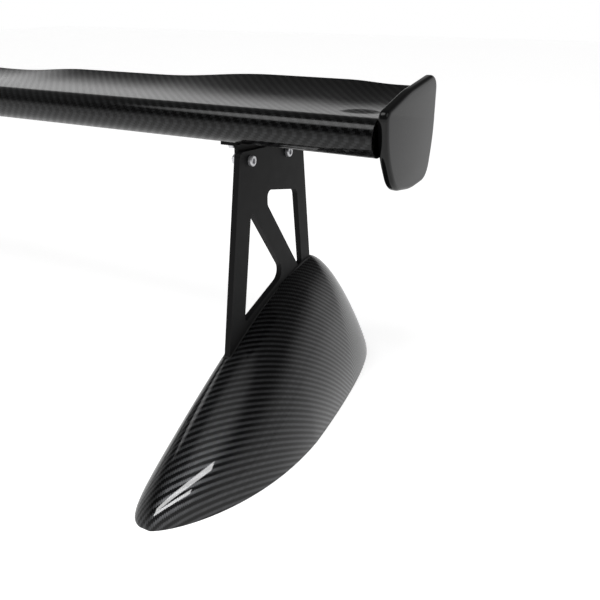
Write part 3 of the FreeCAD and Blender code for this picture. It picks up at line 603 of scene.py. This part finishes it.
def rim_rings(points, x_low, x_high, round_low, round_high, steps):
    """Rings of a rim rounded towards both faces: (x, points)."""
    normals = outward_normals(points)
    rings = []
    for radius, x_face, sign in ((round_low, x_low, 1.0), (round_high, x_high, -1.0)):
        part = []
        for step in range(steps + 1):
            angle = math.pi / 2.0 * step / steps
            inset = radius * (1.0 - math.sin(angle))
            x = x_face + sign * radius * (1.0 - math.cos(angle))
            part.append((x, [points[k] - normals[k] * inset for k in range(len(points))]))
        rings.extend(part if sign > 0.0 else part[::-1])
    return rings


def endplate_piece(name, points, material):
    """Flat plate across X with both rims of its outline rounded."""
    rings = rim_rings(points, ENDPLATE_INNER, ENDPLATE_INNER + ENDPLATE_THICKNESS,
                      ENDPLATE_INNER_ROUND, ENDPLATE_OUTER_ROUND, ENDPLATE_ROUND_STEPS)
    size = len(points)
    verts, faces = [], []
    for x, ring in rings:
        verts.extend((x, p.x + STAND_DATUM, p.y) for p in ring)
    for k in range(len(rings) - 1):
        for j in range(size):
            following = (j + 1) % size
            faces.append((k * size + j, k * size + following,
                          (k + 1) * size + following, (k + 1) * size + j))
    for base in (0, (len(rings) - 1) * size):
        outline = [Vector((verts[base + j][1], verts[base + j][2], 0.0)) for j in range(size)]
        for triangle in tessellate_polygon([outline]):
            faces.append(tuple(base + i for i in triangle))
    piece = new_piece(name, verts, faces, material, None, ENDPLATE_SHARP)
    closed = bmesh.new()
    closed.from_mesh(piece.data)
    bmesh.ops.remove_doubles(closed, verts=closed.verts, dist=MERGE_DISTANCE)
    bmesh.ops.recalc_face_normals(closed, faces=closed.faces)
    closed.to_mesh(piece.data)
    closed.free()
    piece.data.shade_smooth()
    piece.data.set_sharp_from_angle(angle=ENDPLATE_SHARP)
    return piece


class WING_OT_make_endplates(bpy.types.Operator):
    """Builds both endplates with their rounded rims"""

    bl_idname = "wing.make_endplates"
    bl_label = "Endplates"

    def execute(self, context):
        material = plain_carbon_material(context.scene.wing_carbon)
        outline = rounded_outline(ENDPLATE_OUTLINE, ENDPLATE_ARC_STEP)
        left = endplate_piece("endplate_skin_left", outline, material)
        right = mirror_piece(left, "endplate_skin_right")
        settle(left, "wing", "carbon_plain", "endplate_left")
        settle(right, "wing", "carbon_plain", "endplate_right")
        return {"FINISHED"}


# ---------------------------------------------------------------- pods


def pod_width(y, outer):
    if y < POD_WIDEST:
        t = (POD_WIDEST - y) / (POD_WIDEST + POD_FRONT)
        plan = POD_PLAN
    else:
        t = (y - POD_WIDEST) / (POD_REAR - POD_WIDEST)
        plan = POD_REAR_PLAN
    if outer:
        return POD_OUTER_WIDTH * falling(t, *plan)
    return POD_INNER_WIDTH * falling(t, *POD_INNER_PLAN)


def pod_height(y):
    ridge = POD_RIDGE + POD_RIDGE_RISE * y
    ridge *= falling((POD_BROW - y) / (POD_BROW + POD_FRONT), *POD_BROW_FALL)
    ridge *= falling((y - POD_CREST) / (POD_REAR - POD_CREST), *POD_CREST_FALL)
    return ridge


def pod_station(k, count):
    """Stations crowd towards both ends, as the solids' sections do."""
    whole = POD_SECTIONS - 1 + 2.0 * POD_END_SHARE
    first = POD_END_SHARE / whole
    last = (POD_SECTIONS - 1 + POD_END_SHARE) / whole
    share = 0.5 - 0.5 * math.cos(math.pi * (first + (last - first) * k / count))
    return -POD_FRONT + (POD_FRONT + POD_REAR) * share


def pod_point(y, turn):
    outer = turn > 0.0
    power = POD_SIDE_POWER if outer else POD_INNER_SIDE_POWER
    across = math.copysign(abs(math.sin(turn)) ** (2.0 / power), turn) * pod_width(y, outer)
    up = pod_height(y) * max(math.cos(turn), 0.0) ** (2.0 / power)
    return Vector((STAND_X + across, y + STAND_DATUM, up))


class WING_OT_make_pods(bpy.types.Operator):
    """Builds the two teardrop pods over the solids"""

    bl_idname = "wing.make_pods"
    bl_label = "Pods"

    def execute(self, context):
        settings = context.scene.wing_carbon
        material = carbon_material("carbon_pod", settings.pod_tow, settings.pod_bright_tow, False, settings)
        half = POD_ARCH_STEPS
        length = POD_LENGTH_STEPS
        verts, faces, uvs, cloth = [], [], [], []
        for k in range(length + 1):
            y = pod_station(k, length)
            row = [pod_point(y, j / half * math.pi / 2.0) for j in range(-half, half + 1)]
            reach = [0.0] * len(row)
            for j in range(half + 1, len(row)):
                reach[j] = reach[j - 1] + (row[j] - row[j - 1]).length
            for j in range(half - 1, -1, -1):
                reach[j] = reach[j + 1] - (row[j] - row[j + 1]).length
            verts.extend(tuple(p) for p in row)
            cloth.extend((y, r) for r in reach)
        width = 2 * half + 1
        for k in range(length):
            for j in range(width - 1):
                quad = (k * width + j, k * width + j + 1, (k + 1) * width + j + 1, (k + 1) * width + j)
                faces.append(quad)
                uvs.extend(cloth[i] for i in quad)
        for k in (0, length):
            order = range(width) if k else range(width - 1, -1, -1)
            cap = tuple(k * width + j for j in order)
            faces.append(cap)
            uvs.extend(cloth[i] for i in cap)
        left = new_piece("pod_skin_left", verts, faces, material, uvs, POD_SHARP)
        right = mirror_piece(left, "pod_skin_right")
        settle(left, "stand", "carbon", "pod_left")
        settle(right, "stand", "carbon", "pod_right")
        return {"FINISHED"}


# ---------------------------------------------------------------- plates and hardware


def hexagon_radius(turn, flat):
    """Distance from the centre to a hexagon's side, in this direction."""
    return flat / math.cos((turn + math.pi / 6.0) % (math.pi / 3.0) - math.pi / 6.0)


def bolt_template():
    """One bolt along +X, head at the +X end, its seat at the origin, with a hexagon socket."""
    flat = BOLT_SOCKET_FLATS / 2.0
    rings = (
        (-BOLT_LENGTH, BOLT_RADIUS - BOLT_CHAMFER, False),
        (-BOLT_LENGTH + BOLT_CHAMFER, BOLT_RADIUS, False),
        (0.0, BOLT_RADIUS, False),
        (0.0, BOLT_HEAD_RADIUS - BOLT_CHAMFER, False),
        (0.25 * BOLT_CHAMFER, BOLT_HEAD_RADIUS - 0.3 * BOLT_CHAMFER, False),
        (BOLT_CHAMFER, BOLT_HEAD_RADIUS, False),
        (BOLT_HEAD_HEIGHT - 2.2 * BOLT_CHAMFER, BOLT_HEAD_RADIUS, False),
        (BOLT_HEAD_HEIGHT - 1.0 * BOLT_CHAMFER, BOLT_HEAD_RADIUS - 0.35 * BOLT_CHAMFER, False),
        (BOLT_HEAD_HEIGHT - 0.3 * BOLT_CHAMFER, BOLT_HEAD_RADIUS - 1.1 * BOLT_CHAMFER, False),
        (BOLT_HEAD_HEIGHT, BOLT_HEAD_RADIUS - 2.2 * BOLT_CHAMFER, False),
        (BOLT_HEAD_HEIGHT, flat + 0.5 * BOLT_CHAMFER, True),
        (BOLT_HEAD_HEIGHT - 0.5 * BOLT_CHAMFER, flat, True),
        (BOLT_HEAD_HEIGHT - BOLT_SOCKET_DEPTH, flat, True),
    )
    mesh = bmesh.new()
    loops = []
    for x, radius, hexagon in rings:
        loop = []
        for k in range(BOLT_SIDES):
            turn = 2.0 * math.pi * k / BOLT_SIDES
            reach = hexagon_radius(turn, radius) if hexagon else radius
            loop.append(mesh.verts.new((x, reach * math.cos(turn), reach * math.sin(turn))))
        loops.append(loop)
    for first, second in zip(loops, loops[1:]):
        for k in range(BOLT_SIDES):
            after = (k + 1) % BOLT_SIDES
            mesh.faces.new((first[k], first[after], second[after], second[k]))
    socket_end = BOLT_HEAD_HEIGHT - BOLT_SOCKET_DEPTH - BOLT_CHAMFER
    for loop, x in ((loops[0], -BOLT_LENGTH), (loops[-1], socket_end)):
        tip = mesh.verts.new((x, 0.0, 0.0))
        for k in range(BOLT_SIDES):
            mesh.faces.new((tip, loop[k], loop[(k + 1) % BOLT_SIDES]))
    bmesh.ops.recalc_face_normals(mesh, faces=mesh.faces)
    data = bpy.data.meshes.new("bolt_template")
    mesh.to_mesh(data)
    mesh.free()
    data.shade_smooth()
    data.set_sharp_from_angle(angle=math.radians(35.0))
    template = bpy.data.objects.new("bolt_template", data)
    bpy.context.scene.collection.objects.link(template)
    return template


def repeat_tree():
    """Geometry nodes that put one fastener on every point of a mesh, turned as the point says."""
    tree = bpy.data.node_groups.new("fasteners_on_points", "GeometryNodeTree")
    tree.interface.new_socket("Places", in_out="INPUT", socket_type="NodeSocketGeometry")
    tree.interface.new_socket("Fastener", in_out="INPUT", socket_type="NodeSocketObject")
    size = tree.interface.new_socket("Size", in_out="INPUT", socket_type="NodeSocketFloat")
    size.default_value = 1.0
    tree.interface.new_socket("Finish", in_out="INPUT", socket_type="NodeSocketMaterial")
    tree.interface.new_socket("Fasteners", in_out="OUTPUT", socket_type="NodeSocketGeometry")
    given = tree.nodes.new("NodeGroupInput")
    made = tree.nodes.new("NodeGroupOutput")
    points = tree.nodes.new("GeometryNodeMeshToPoints")
    shape = tree.nodes.new("GeometryNodeObjectInfo")
    facing = tree.nodes.new("GeometryNodeInputNamedAttribute")
    facing.data_type = "FLOAT_VECTOR"
    facing.inputs["Name"].default_value = "facing"
    turned = tree.nodes.new("FunctionNodeEulerToRotation")
    spread = tree.nodes.new("GeometryNodeInstanceOnPoints")
    joined = tree.nodes.new("GeometryNodeRealizeInstances")
    coated = tree.nodes.new("GeometryNodeSetMaterial")
    link = tree.links.new
    link(given.outputs["Places"], points.inputs["Mesh"])
    link(given.outputs["Fastener"], shape.inputs["Object"])
    link(facing.outputs["Attribute"], turned.inputs[0])
    link(points.outputs["Points"], spread.inputs["Points"])
    link(shape.outputs["Geometry"], spread.inputs["Instance"])
    link(turned.outputs[0], spread.inputs["Rotation"])
    link(given.outputs["Size"], spread.inputs["Scale"])
    link(spread.outputs["Instances"], joined.inputs["Geometry"])
    link(joined.outputs["Geometry"], coated.inputs["Geometry"])
    link(given.outputs["Finish"], coated.inputs["Material"])
    link(coated.outputs["Geometry"], made.inputs["Fasteners"])
    return tree


def fasteners(name, template, places, finish):
    """Plain mesh with the template at every place: (x, y, z, turn about Z)."""
    carrier_data = bpy.data.meshes.new(name + "_places")
    carrier_data.from_pydata([place[:3] for place in places], [], [])
    facing = carrier_data.attributes.new("facing", "FLOAT_VECTOR", "POINT")
    for k, place in enumerate(places):
        facing.data[k].vector = (0.0, 0.0, place[3])
    carrier = bpy.data.objects.new(name + "_places", carrier_data)
    bpy.context.scene.collection.objects.link(carrier)
    tree = repeat_tree()
    modifier = carrier.modifiers.new("fasteners", "NODES")
    modifier.node_group = tree
    sockets = {item.name: item.identifier for item in tree.interface.items_tree
               if item.in_out == "INPUT"}
    modifier[sockets["Fastener"]] = template
    modifier[sockets["Size"]] = 1.0
    modifier[sockets["Finish"]] = finish
    evaluated = carrier.evaluated_get(bpy.context.evaluated_depsgraph_get())
    data = bpy.data.meshes.new_from_object(evaluated)
    data.name = name
    carrier.modifiers.remove(modifier)
    bpy.data.objects.remove(carrier)
    piece = bpy.data.objects.new(name, data)
    bpy.context.scene.collection.objects.link(piece)
    return piece


class WING_OT_make_fasteners(bpy.types.Operator):
    """Pivot and clamp bolts in both uprights"""

    bl_idname = "wing.make_fasteners"
    bl_label = "Bolts"

    def execute(self, context):
        template = bolt_template()
        places = []
        for y, z in BOLT_CENTRES:
            places.append((BOLT_SEAT, y, z, 0.0))
            places.append((-BOLT_SEAT, y, z, math.pi))
        piece = fasteners("upright_bolts", template, places, steel_material(context.scene.wing_metal))
        bpy.data.objects.remove(template)
        if len(piece.data.polygons) == 0:
            raise RuntimeError("the bolts came out empty")
        settle(piece, "stand", "bolt_steel", "pivot_bolts", "clamp_bolts")
        return {"FINISHED"}


class WING_OT_finish_solids(bpy.types.Operator):
    """Gives the plates, bolts, rubber and core their materials"""

    bl_idname = "wing.finish_solids"
    bl_label = "Plates and hardware"

    def execute(self, context):
        settings = context.scene.wing_metal
        finishes = {
            "black_plate": plate_material(settings),
            "bolt_steel": bpy.data.materials["bolt_steel"],
            "rubber": soft_material("seal_rubber", settings.rubber_colour, 1500.0, 0.8),
            "core": soft_material("core_foam", (0.75, 0.72, 0.62), 900.0, 0.9),
        }
        slots = {s["node"]: s["material_slot"] for s in frame["record"]["subparts"]}
        for name, node in frame["nodes"].items():
            finish = finishes.get(slots[name])
            if finish is None or node.hide_render:
                continue
            node.data.materials.clear()
            node.data.materials.append(finish)
        return {"FINISHED"}


# ---------------------------------------------------------------- stage


def area_light(name, place, target, width, height, power):
    data = bpy.data.lights.new(name, "AREA")
    data.shape = "RECTANGLE"
    data.size = width
    data.size_y = height
    data.energy = power
    lamp = bpy.data.objects.new(name, data)
    bpy.context.scene.collection.objects.link(lamp)
    lamp.location = place
    lamp.rotation_euler = (Vector(target) - Vector(place)).to_track_quat("-Z", "Y").to_euler()
    return lamp


def panel_power(radiance, width, height):
    """Power that gives a panel this radiance."""
    return radiance * math.pi * width * height


BACKDROP_EDGE = (4.0, 26.0)  # the white backdrop fades to the ceiling between these elevations

FLOOR_REACH = 9.0
KEY_PLACE = (0.4, -1.3, 2.2)
KEY_TARGET = (0.3, -0.1, 0.2)
KEY_SIZE = (1.6, 1.0)
TUBE_TARGET = (0.53, -0.25, 0.05)
TUBES = (                    # middle, length and width
    ((1.27, -1.1706, 0.80), 1.70, 0.130),
    ((1.08, -1.2124, 0.575), 1.20, 0.080),
)
CAMERA_PLACE = (0.9671, -0.7068 + STAND_DATUM, 0.5611)
CAMERA_AZIMUTH = 28.126      # from +Y towards -X, in degrees
CAMERA_ELEVATION = -24.304
CAMERA_LENS = 40.92
CAMERA_SENSOR = 36.0

# Soft lights above the backdrop: azimuth from +Y towards -X, elevation, inner and outer radius
# in degrees, brightness added
STUDIO_GLOWS = (
    (122.0, 60.0, 3.0, 18.0, 4.0),
    (-110.0, 50.0, 4.0, 26.0, 1.0),
)


def sky_direction(azimuth, elevation):
    turn, lift = math.radians(azimuth), math.radians(elevation)
    return Vector((-math.sin(turn) * math.cos(lift), math.cos(turn) * math.cos(lift), math.sin(lift)))


def background_rays(tree):
    """1 for the rays that show the background: from the camera, off lacquer or metal, through glass."""
    rays = add(tree, "ShaderNodeLightPath")
    mirror = calc(tree, "MAXIMUM", rays.outputs["Is Glossy Ray"], rays.outputs["Is Transmission Ray"])
    return calc(tree, "MAXIMUM", rays.outputs["Is Camera Ray"], mirror)


def studio_world(settings):
    """White backdrop all round under a dim ceiling with soft lights; even fill for the rest."""
    world = bpy.data.worlds.new("studio")
    bpy.context.scene.world = world
    world.use_nodes = True
    tree = world.node_tree
    tree.nodes.clear()
    out = add(tree, "ShaderNodeOutputWorld")
    place = add(tree, "ShaderNodeTexCoord")
    split = add(tree, "ShaderNodeSeparateXYZ")
    tree.links.new(place.outputs["Generated"], split.inputs[0])
    low, high = (math.sin(math.radians(edge)) for edge in BACKDROP_EDGE)
    walls = ramp(tree, split.outputs[2], low, high, 1.0, settings.wall_strength)
    for azimuth, elevation, inner, outer, strength in STUDIO_GLOWS:
        toward = add(tree, "ShaderNodeVectorMath", operation="DOT_PRODUCT")
        tree.links.new(place.outputs["Generated"], toward.inputs[0])
        toward.inputs[1].default_value = sky_direction(azimuth, elevation)
        outside, inside = math.cos(math.radians(outer)), math.cos(math.radians(inner))
        spot = ramp(tree, toward.outputs["Value"], outside, inside, 0.0, strength)
        walls = calc(tree, "ADD", walls, spot)
    rays = add(tree, "ShaderNodeLightPath")
    walls = calc(tree, "MAXIMUM", walls, rays.outputs["Is Camera Ray"])
    shown = background_rays(tree)
    fill = calc(tree, "MULTIPLY", calc(tree, "SUBTRACT", 1.0, shown), settings.fill_strength)
    level = calc(tree, "ADD", calc(tree, "MULTIPLY", walls, shown), fill)
    back = add(tree, "ShaderNodeBackground")
    back.inputs["Color"].default_value = (1.0, 1.0, 1.0, 1.0)
    tree.links.new(level, back.inputs["Strength"])
    tree.links.new(back.outputs[0], out.inputs[0])


def floor_material(settings):
    """Pale floor that shows white, to the camera and in the lacquer, except where it is shaded."""
    material, tree, shader = shader_nodes("studio_floor")
    shader.inputs["Base Color"].default_value = (*settings.floor_colour, 1.0)
    shader.inputs["Roughness"].default_value = 0.9
    shader.inputs["Specular IOR Level"].default_value = 0.1
    shader.inputs["Emission Color"].default_value = (1.0, 1.0, 1.0, 1.0)
    tree.links.new(calc(tree, "MULTIPLY", background_rays(tree), settings.floor_glow),
                   shader.inputs["Emission Strength"])
    return material


class WING_OT_make_stage(bpy.types.Operator):
    """Builds the floor, the lights, the surroundings and the camera"""

    bl_idname = "wing.make_stage"
    bl_label = "Stage"

    def execute(self, context):
        settings = context.scene.wing_stage
        scene = context.scene
        corners = ((-1.0, -1.0), (1.0, -1.0), (1.0, 1.0), (-1.0, 1.0))
        mesh = bpy.data.meshes.new("floor")
        mesh.from_pydata([(FLOOR_REACH * x, FLOOR_REACH * y, 0.0) for x, y in corners], [], [(0, 1, 2, 3)])
        mesh.materials.append(floor_material(settings))
        floor = bpy.data.objects.new("floor", mesh)
        scene.collection.objects.link(floor)
        studio_world(settings)
        key = area_light("key", KEY_PLACE, KEY_TARGET, *KEY_SIZE, settings.key_power)
        key.visible_glossy = False
        pods = bpy.data.collections.new("lit_by_tubes")
        for name in ("pod_skin_left", "pod_skin_right"):
            pods.objects.link(bpy.data.objects[name])
        for number, (middle, length, width) in enumerate(TUBES):
            tube = area_light("tube_%d" % number, middle, TUBE_TARGET, length, width,
                              panel_power(settings.tube_radiance, length, width))
            tube.visible_diffuse = False
            tube.light_linking.receiver_collection = pods
        camera_data = bpy.data.cameras.new("camera")
        camera_data.lens = CAMERA_LENS
        camera_data.sensor_width = CAMERA_SENSOR
        camera = bpy.data.objects.new("camera", camera_data)
        scene.collection.objects.link(camera)
        camera.location = CAMERA_PLACE
        ahead = sky_direction(CAMERA_AZIMUTH, CAMERA_ELEVATION)
        camera.rotation_mode = "QUATERNION"
        camera.rotation_quaternion = ahead.to_track_quat("-Z", "Y")
        camera_data.clip_start = 0.01
        camera_data.clip_end = 100.0
        scene.camera = camera
        scene.view_settings.view_transform = "Standard"
        return {"FINISHED"}


# ---------------------------------------------------------------- panel and registration


class WING_PT_finish(bpy.types.Panel):
    bl_label = "Rear wing"
    bl_space_type = "VIEW_3D"
    bl_region_type = "UI"
    bl_category = "Rear wing"

    def draw(self, context):
        layout = self.layout
        for group in ("wing_carbon", "wing_metal", "wing_stage"):
            settings = getattr(context.scene, group)
            box = layout.box()
            for name in settings.__annotations__:
                box.prop(settings, name)
        for operator in OPERATORS:
            layout.operator(operator.bl_idname)


GROUPS = {
    "wing_carbon": WingCarbonSettings,
    "wing_metal": WingMetalSettings,
    "wing_stage": WingStageSettings,
}
OPERATORS = (
    WING_OT_make_wing,
    WING_OT_make_endplates,
    WING_OT_make_pods,
    WING_OT_make_fasteners,
    WING_OT_finish_solids,
    WING_OT_make_stage,
)


def register():
    for name, group in GROUPS.items():
        bpy.utils.register_class(group)
        setattr(bpy.types.Scene, name, bpy.props.PointerProperty(type=group))
    for operator in OPERATORS:
        bpy.utils.register_class(operator)
    bpy.utils.register_class(WING_PT_finish)


def unregister():
    bpy.utils.unregister_class(WING_PT_finish)
    for operator in reversed(OPERATORS):
        bpy.utils.unregister_class(operator)
    for name, group in GROUPS.items():
        delattr(bpy.types.Scene, name)
        bpy.utils.unregister_class(group)


def main():
    register()
    bpy.ops.wing.make_wing()
    bpy.ops.wing.make_endplates()
    bpy.ops.wing.make_pods()
    bpy.ops.wing.make_fasteners()
    bpy.ops.wing.finish_solids()
    bpy.ops.wing.make_stage()


if __name__ == "__main__":
    main()
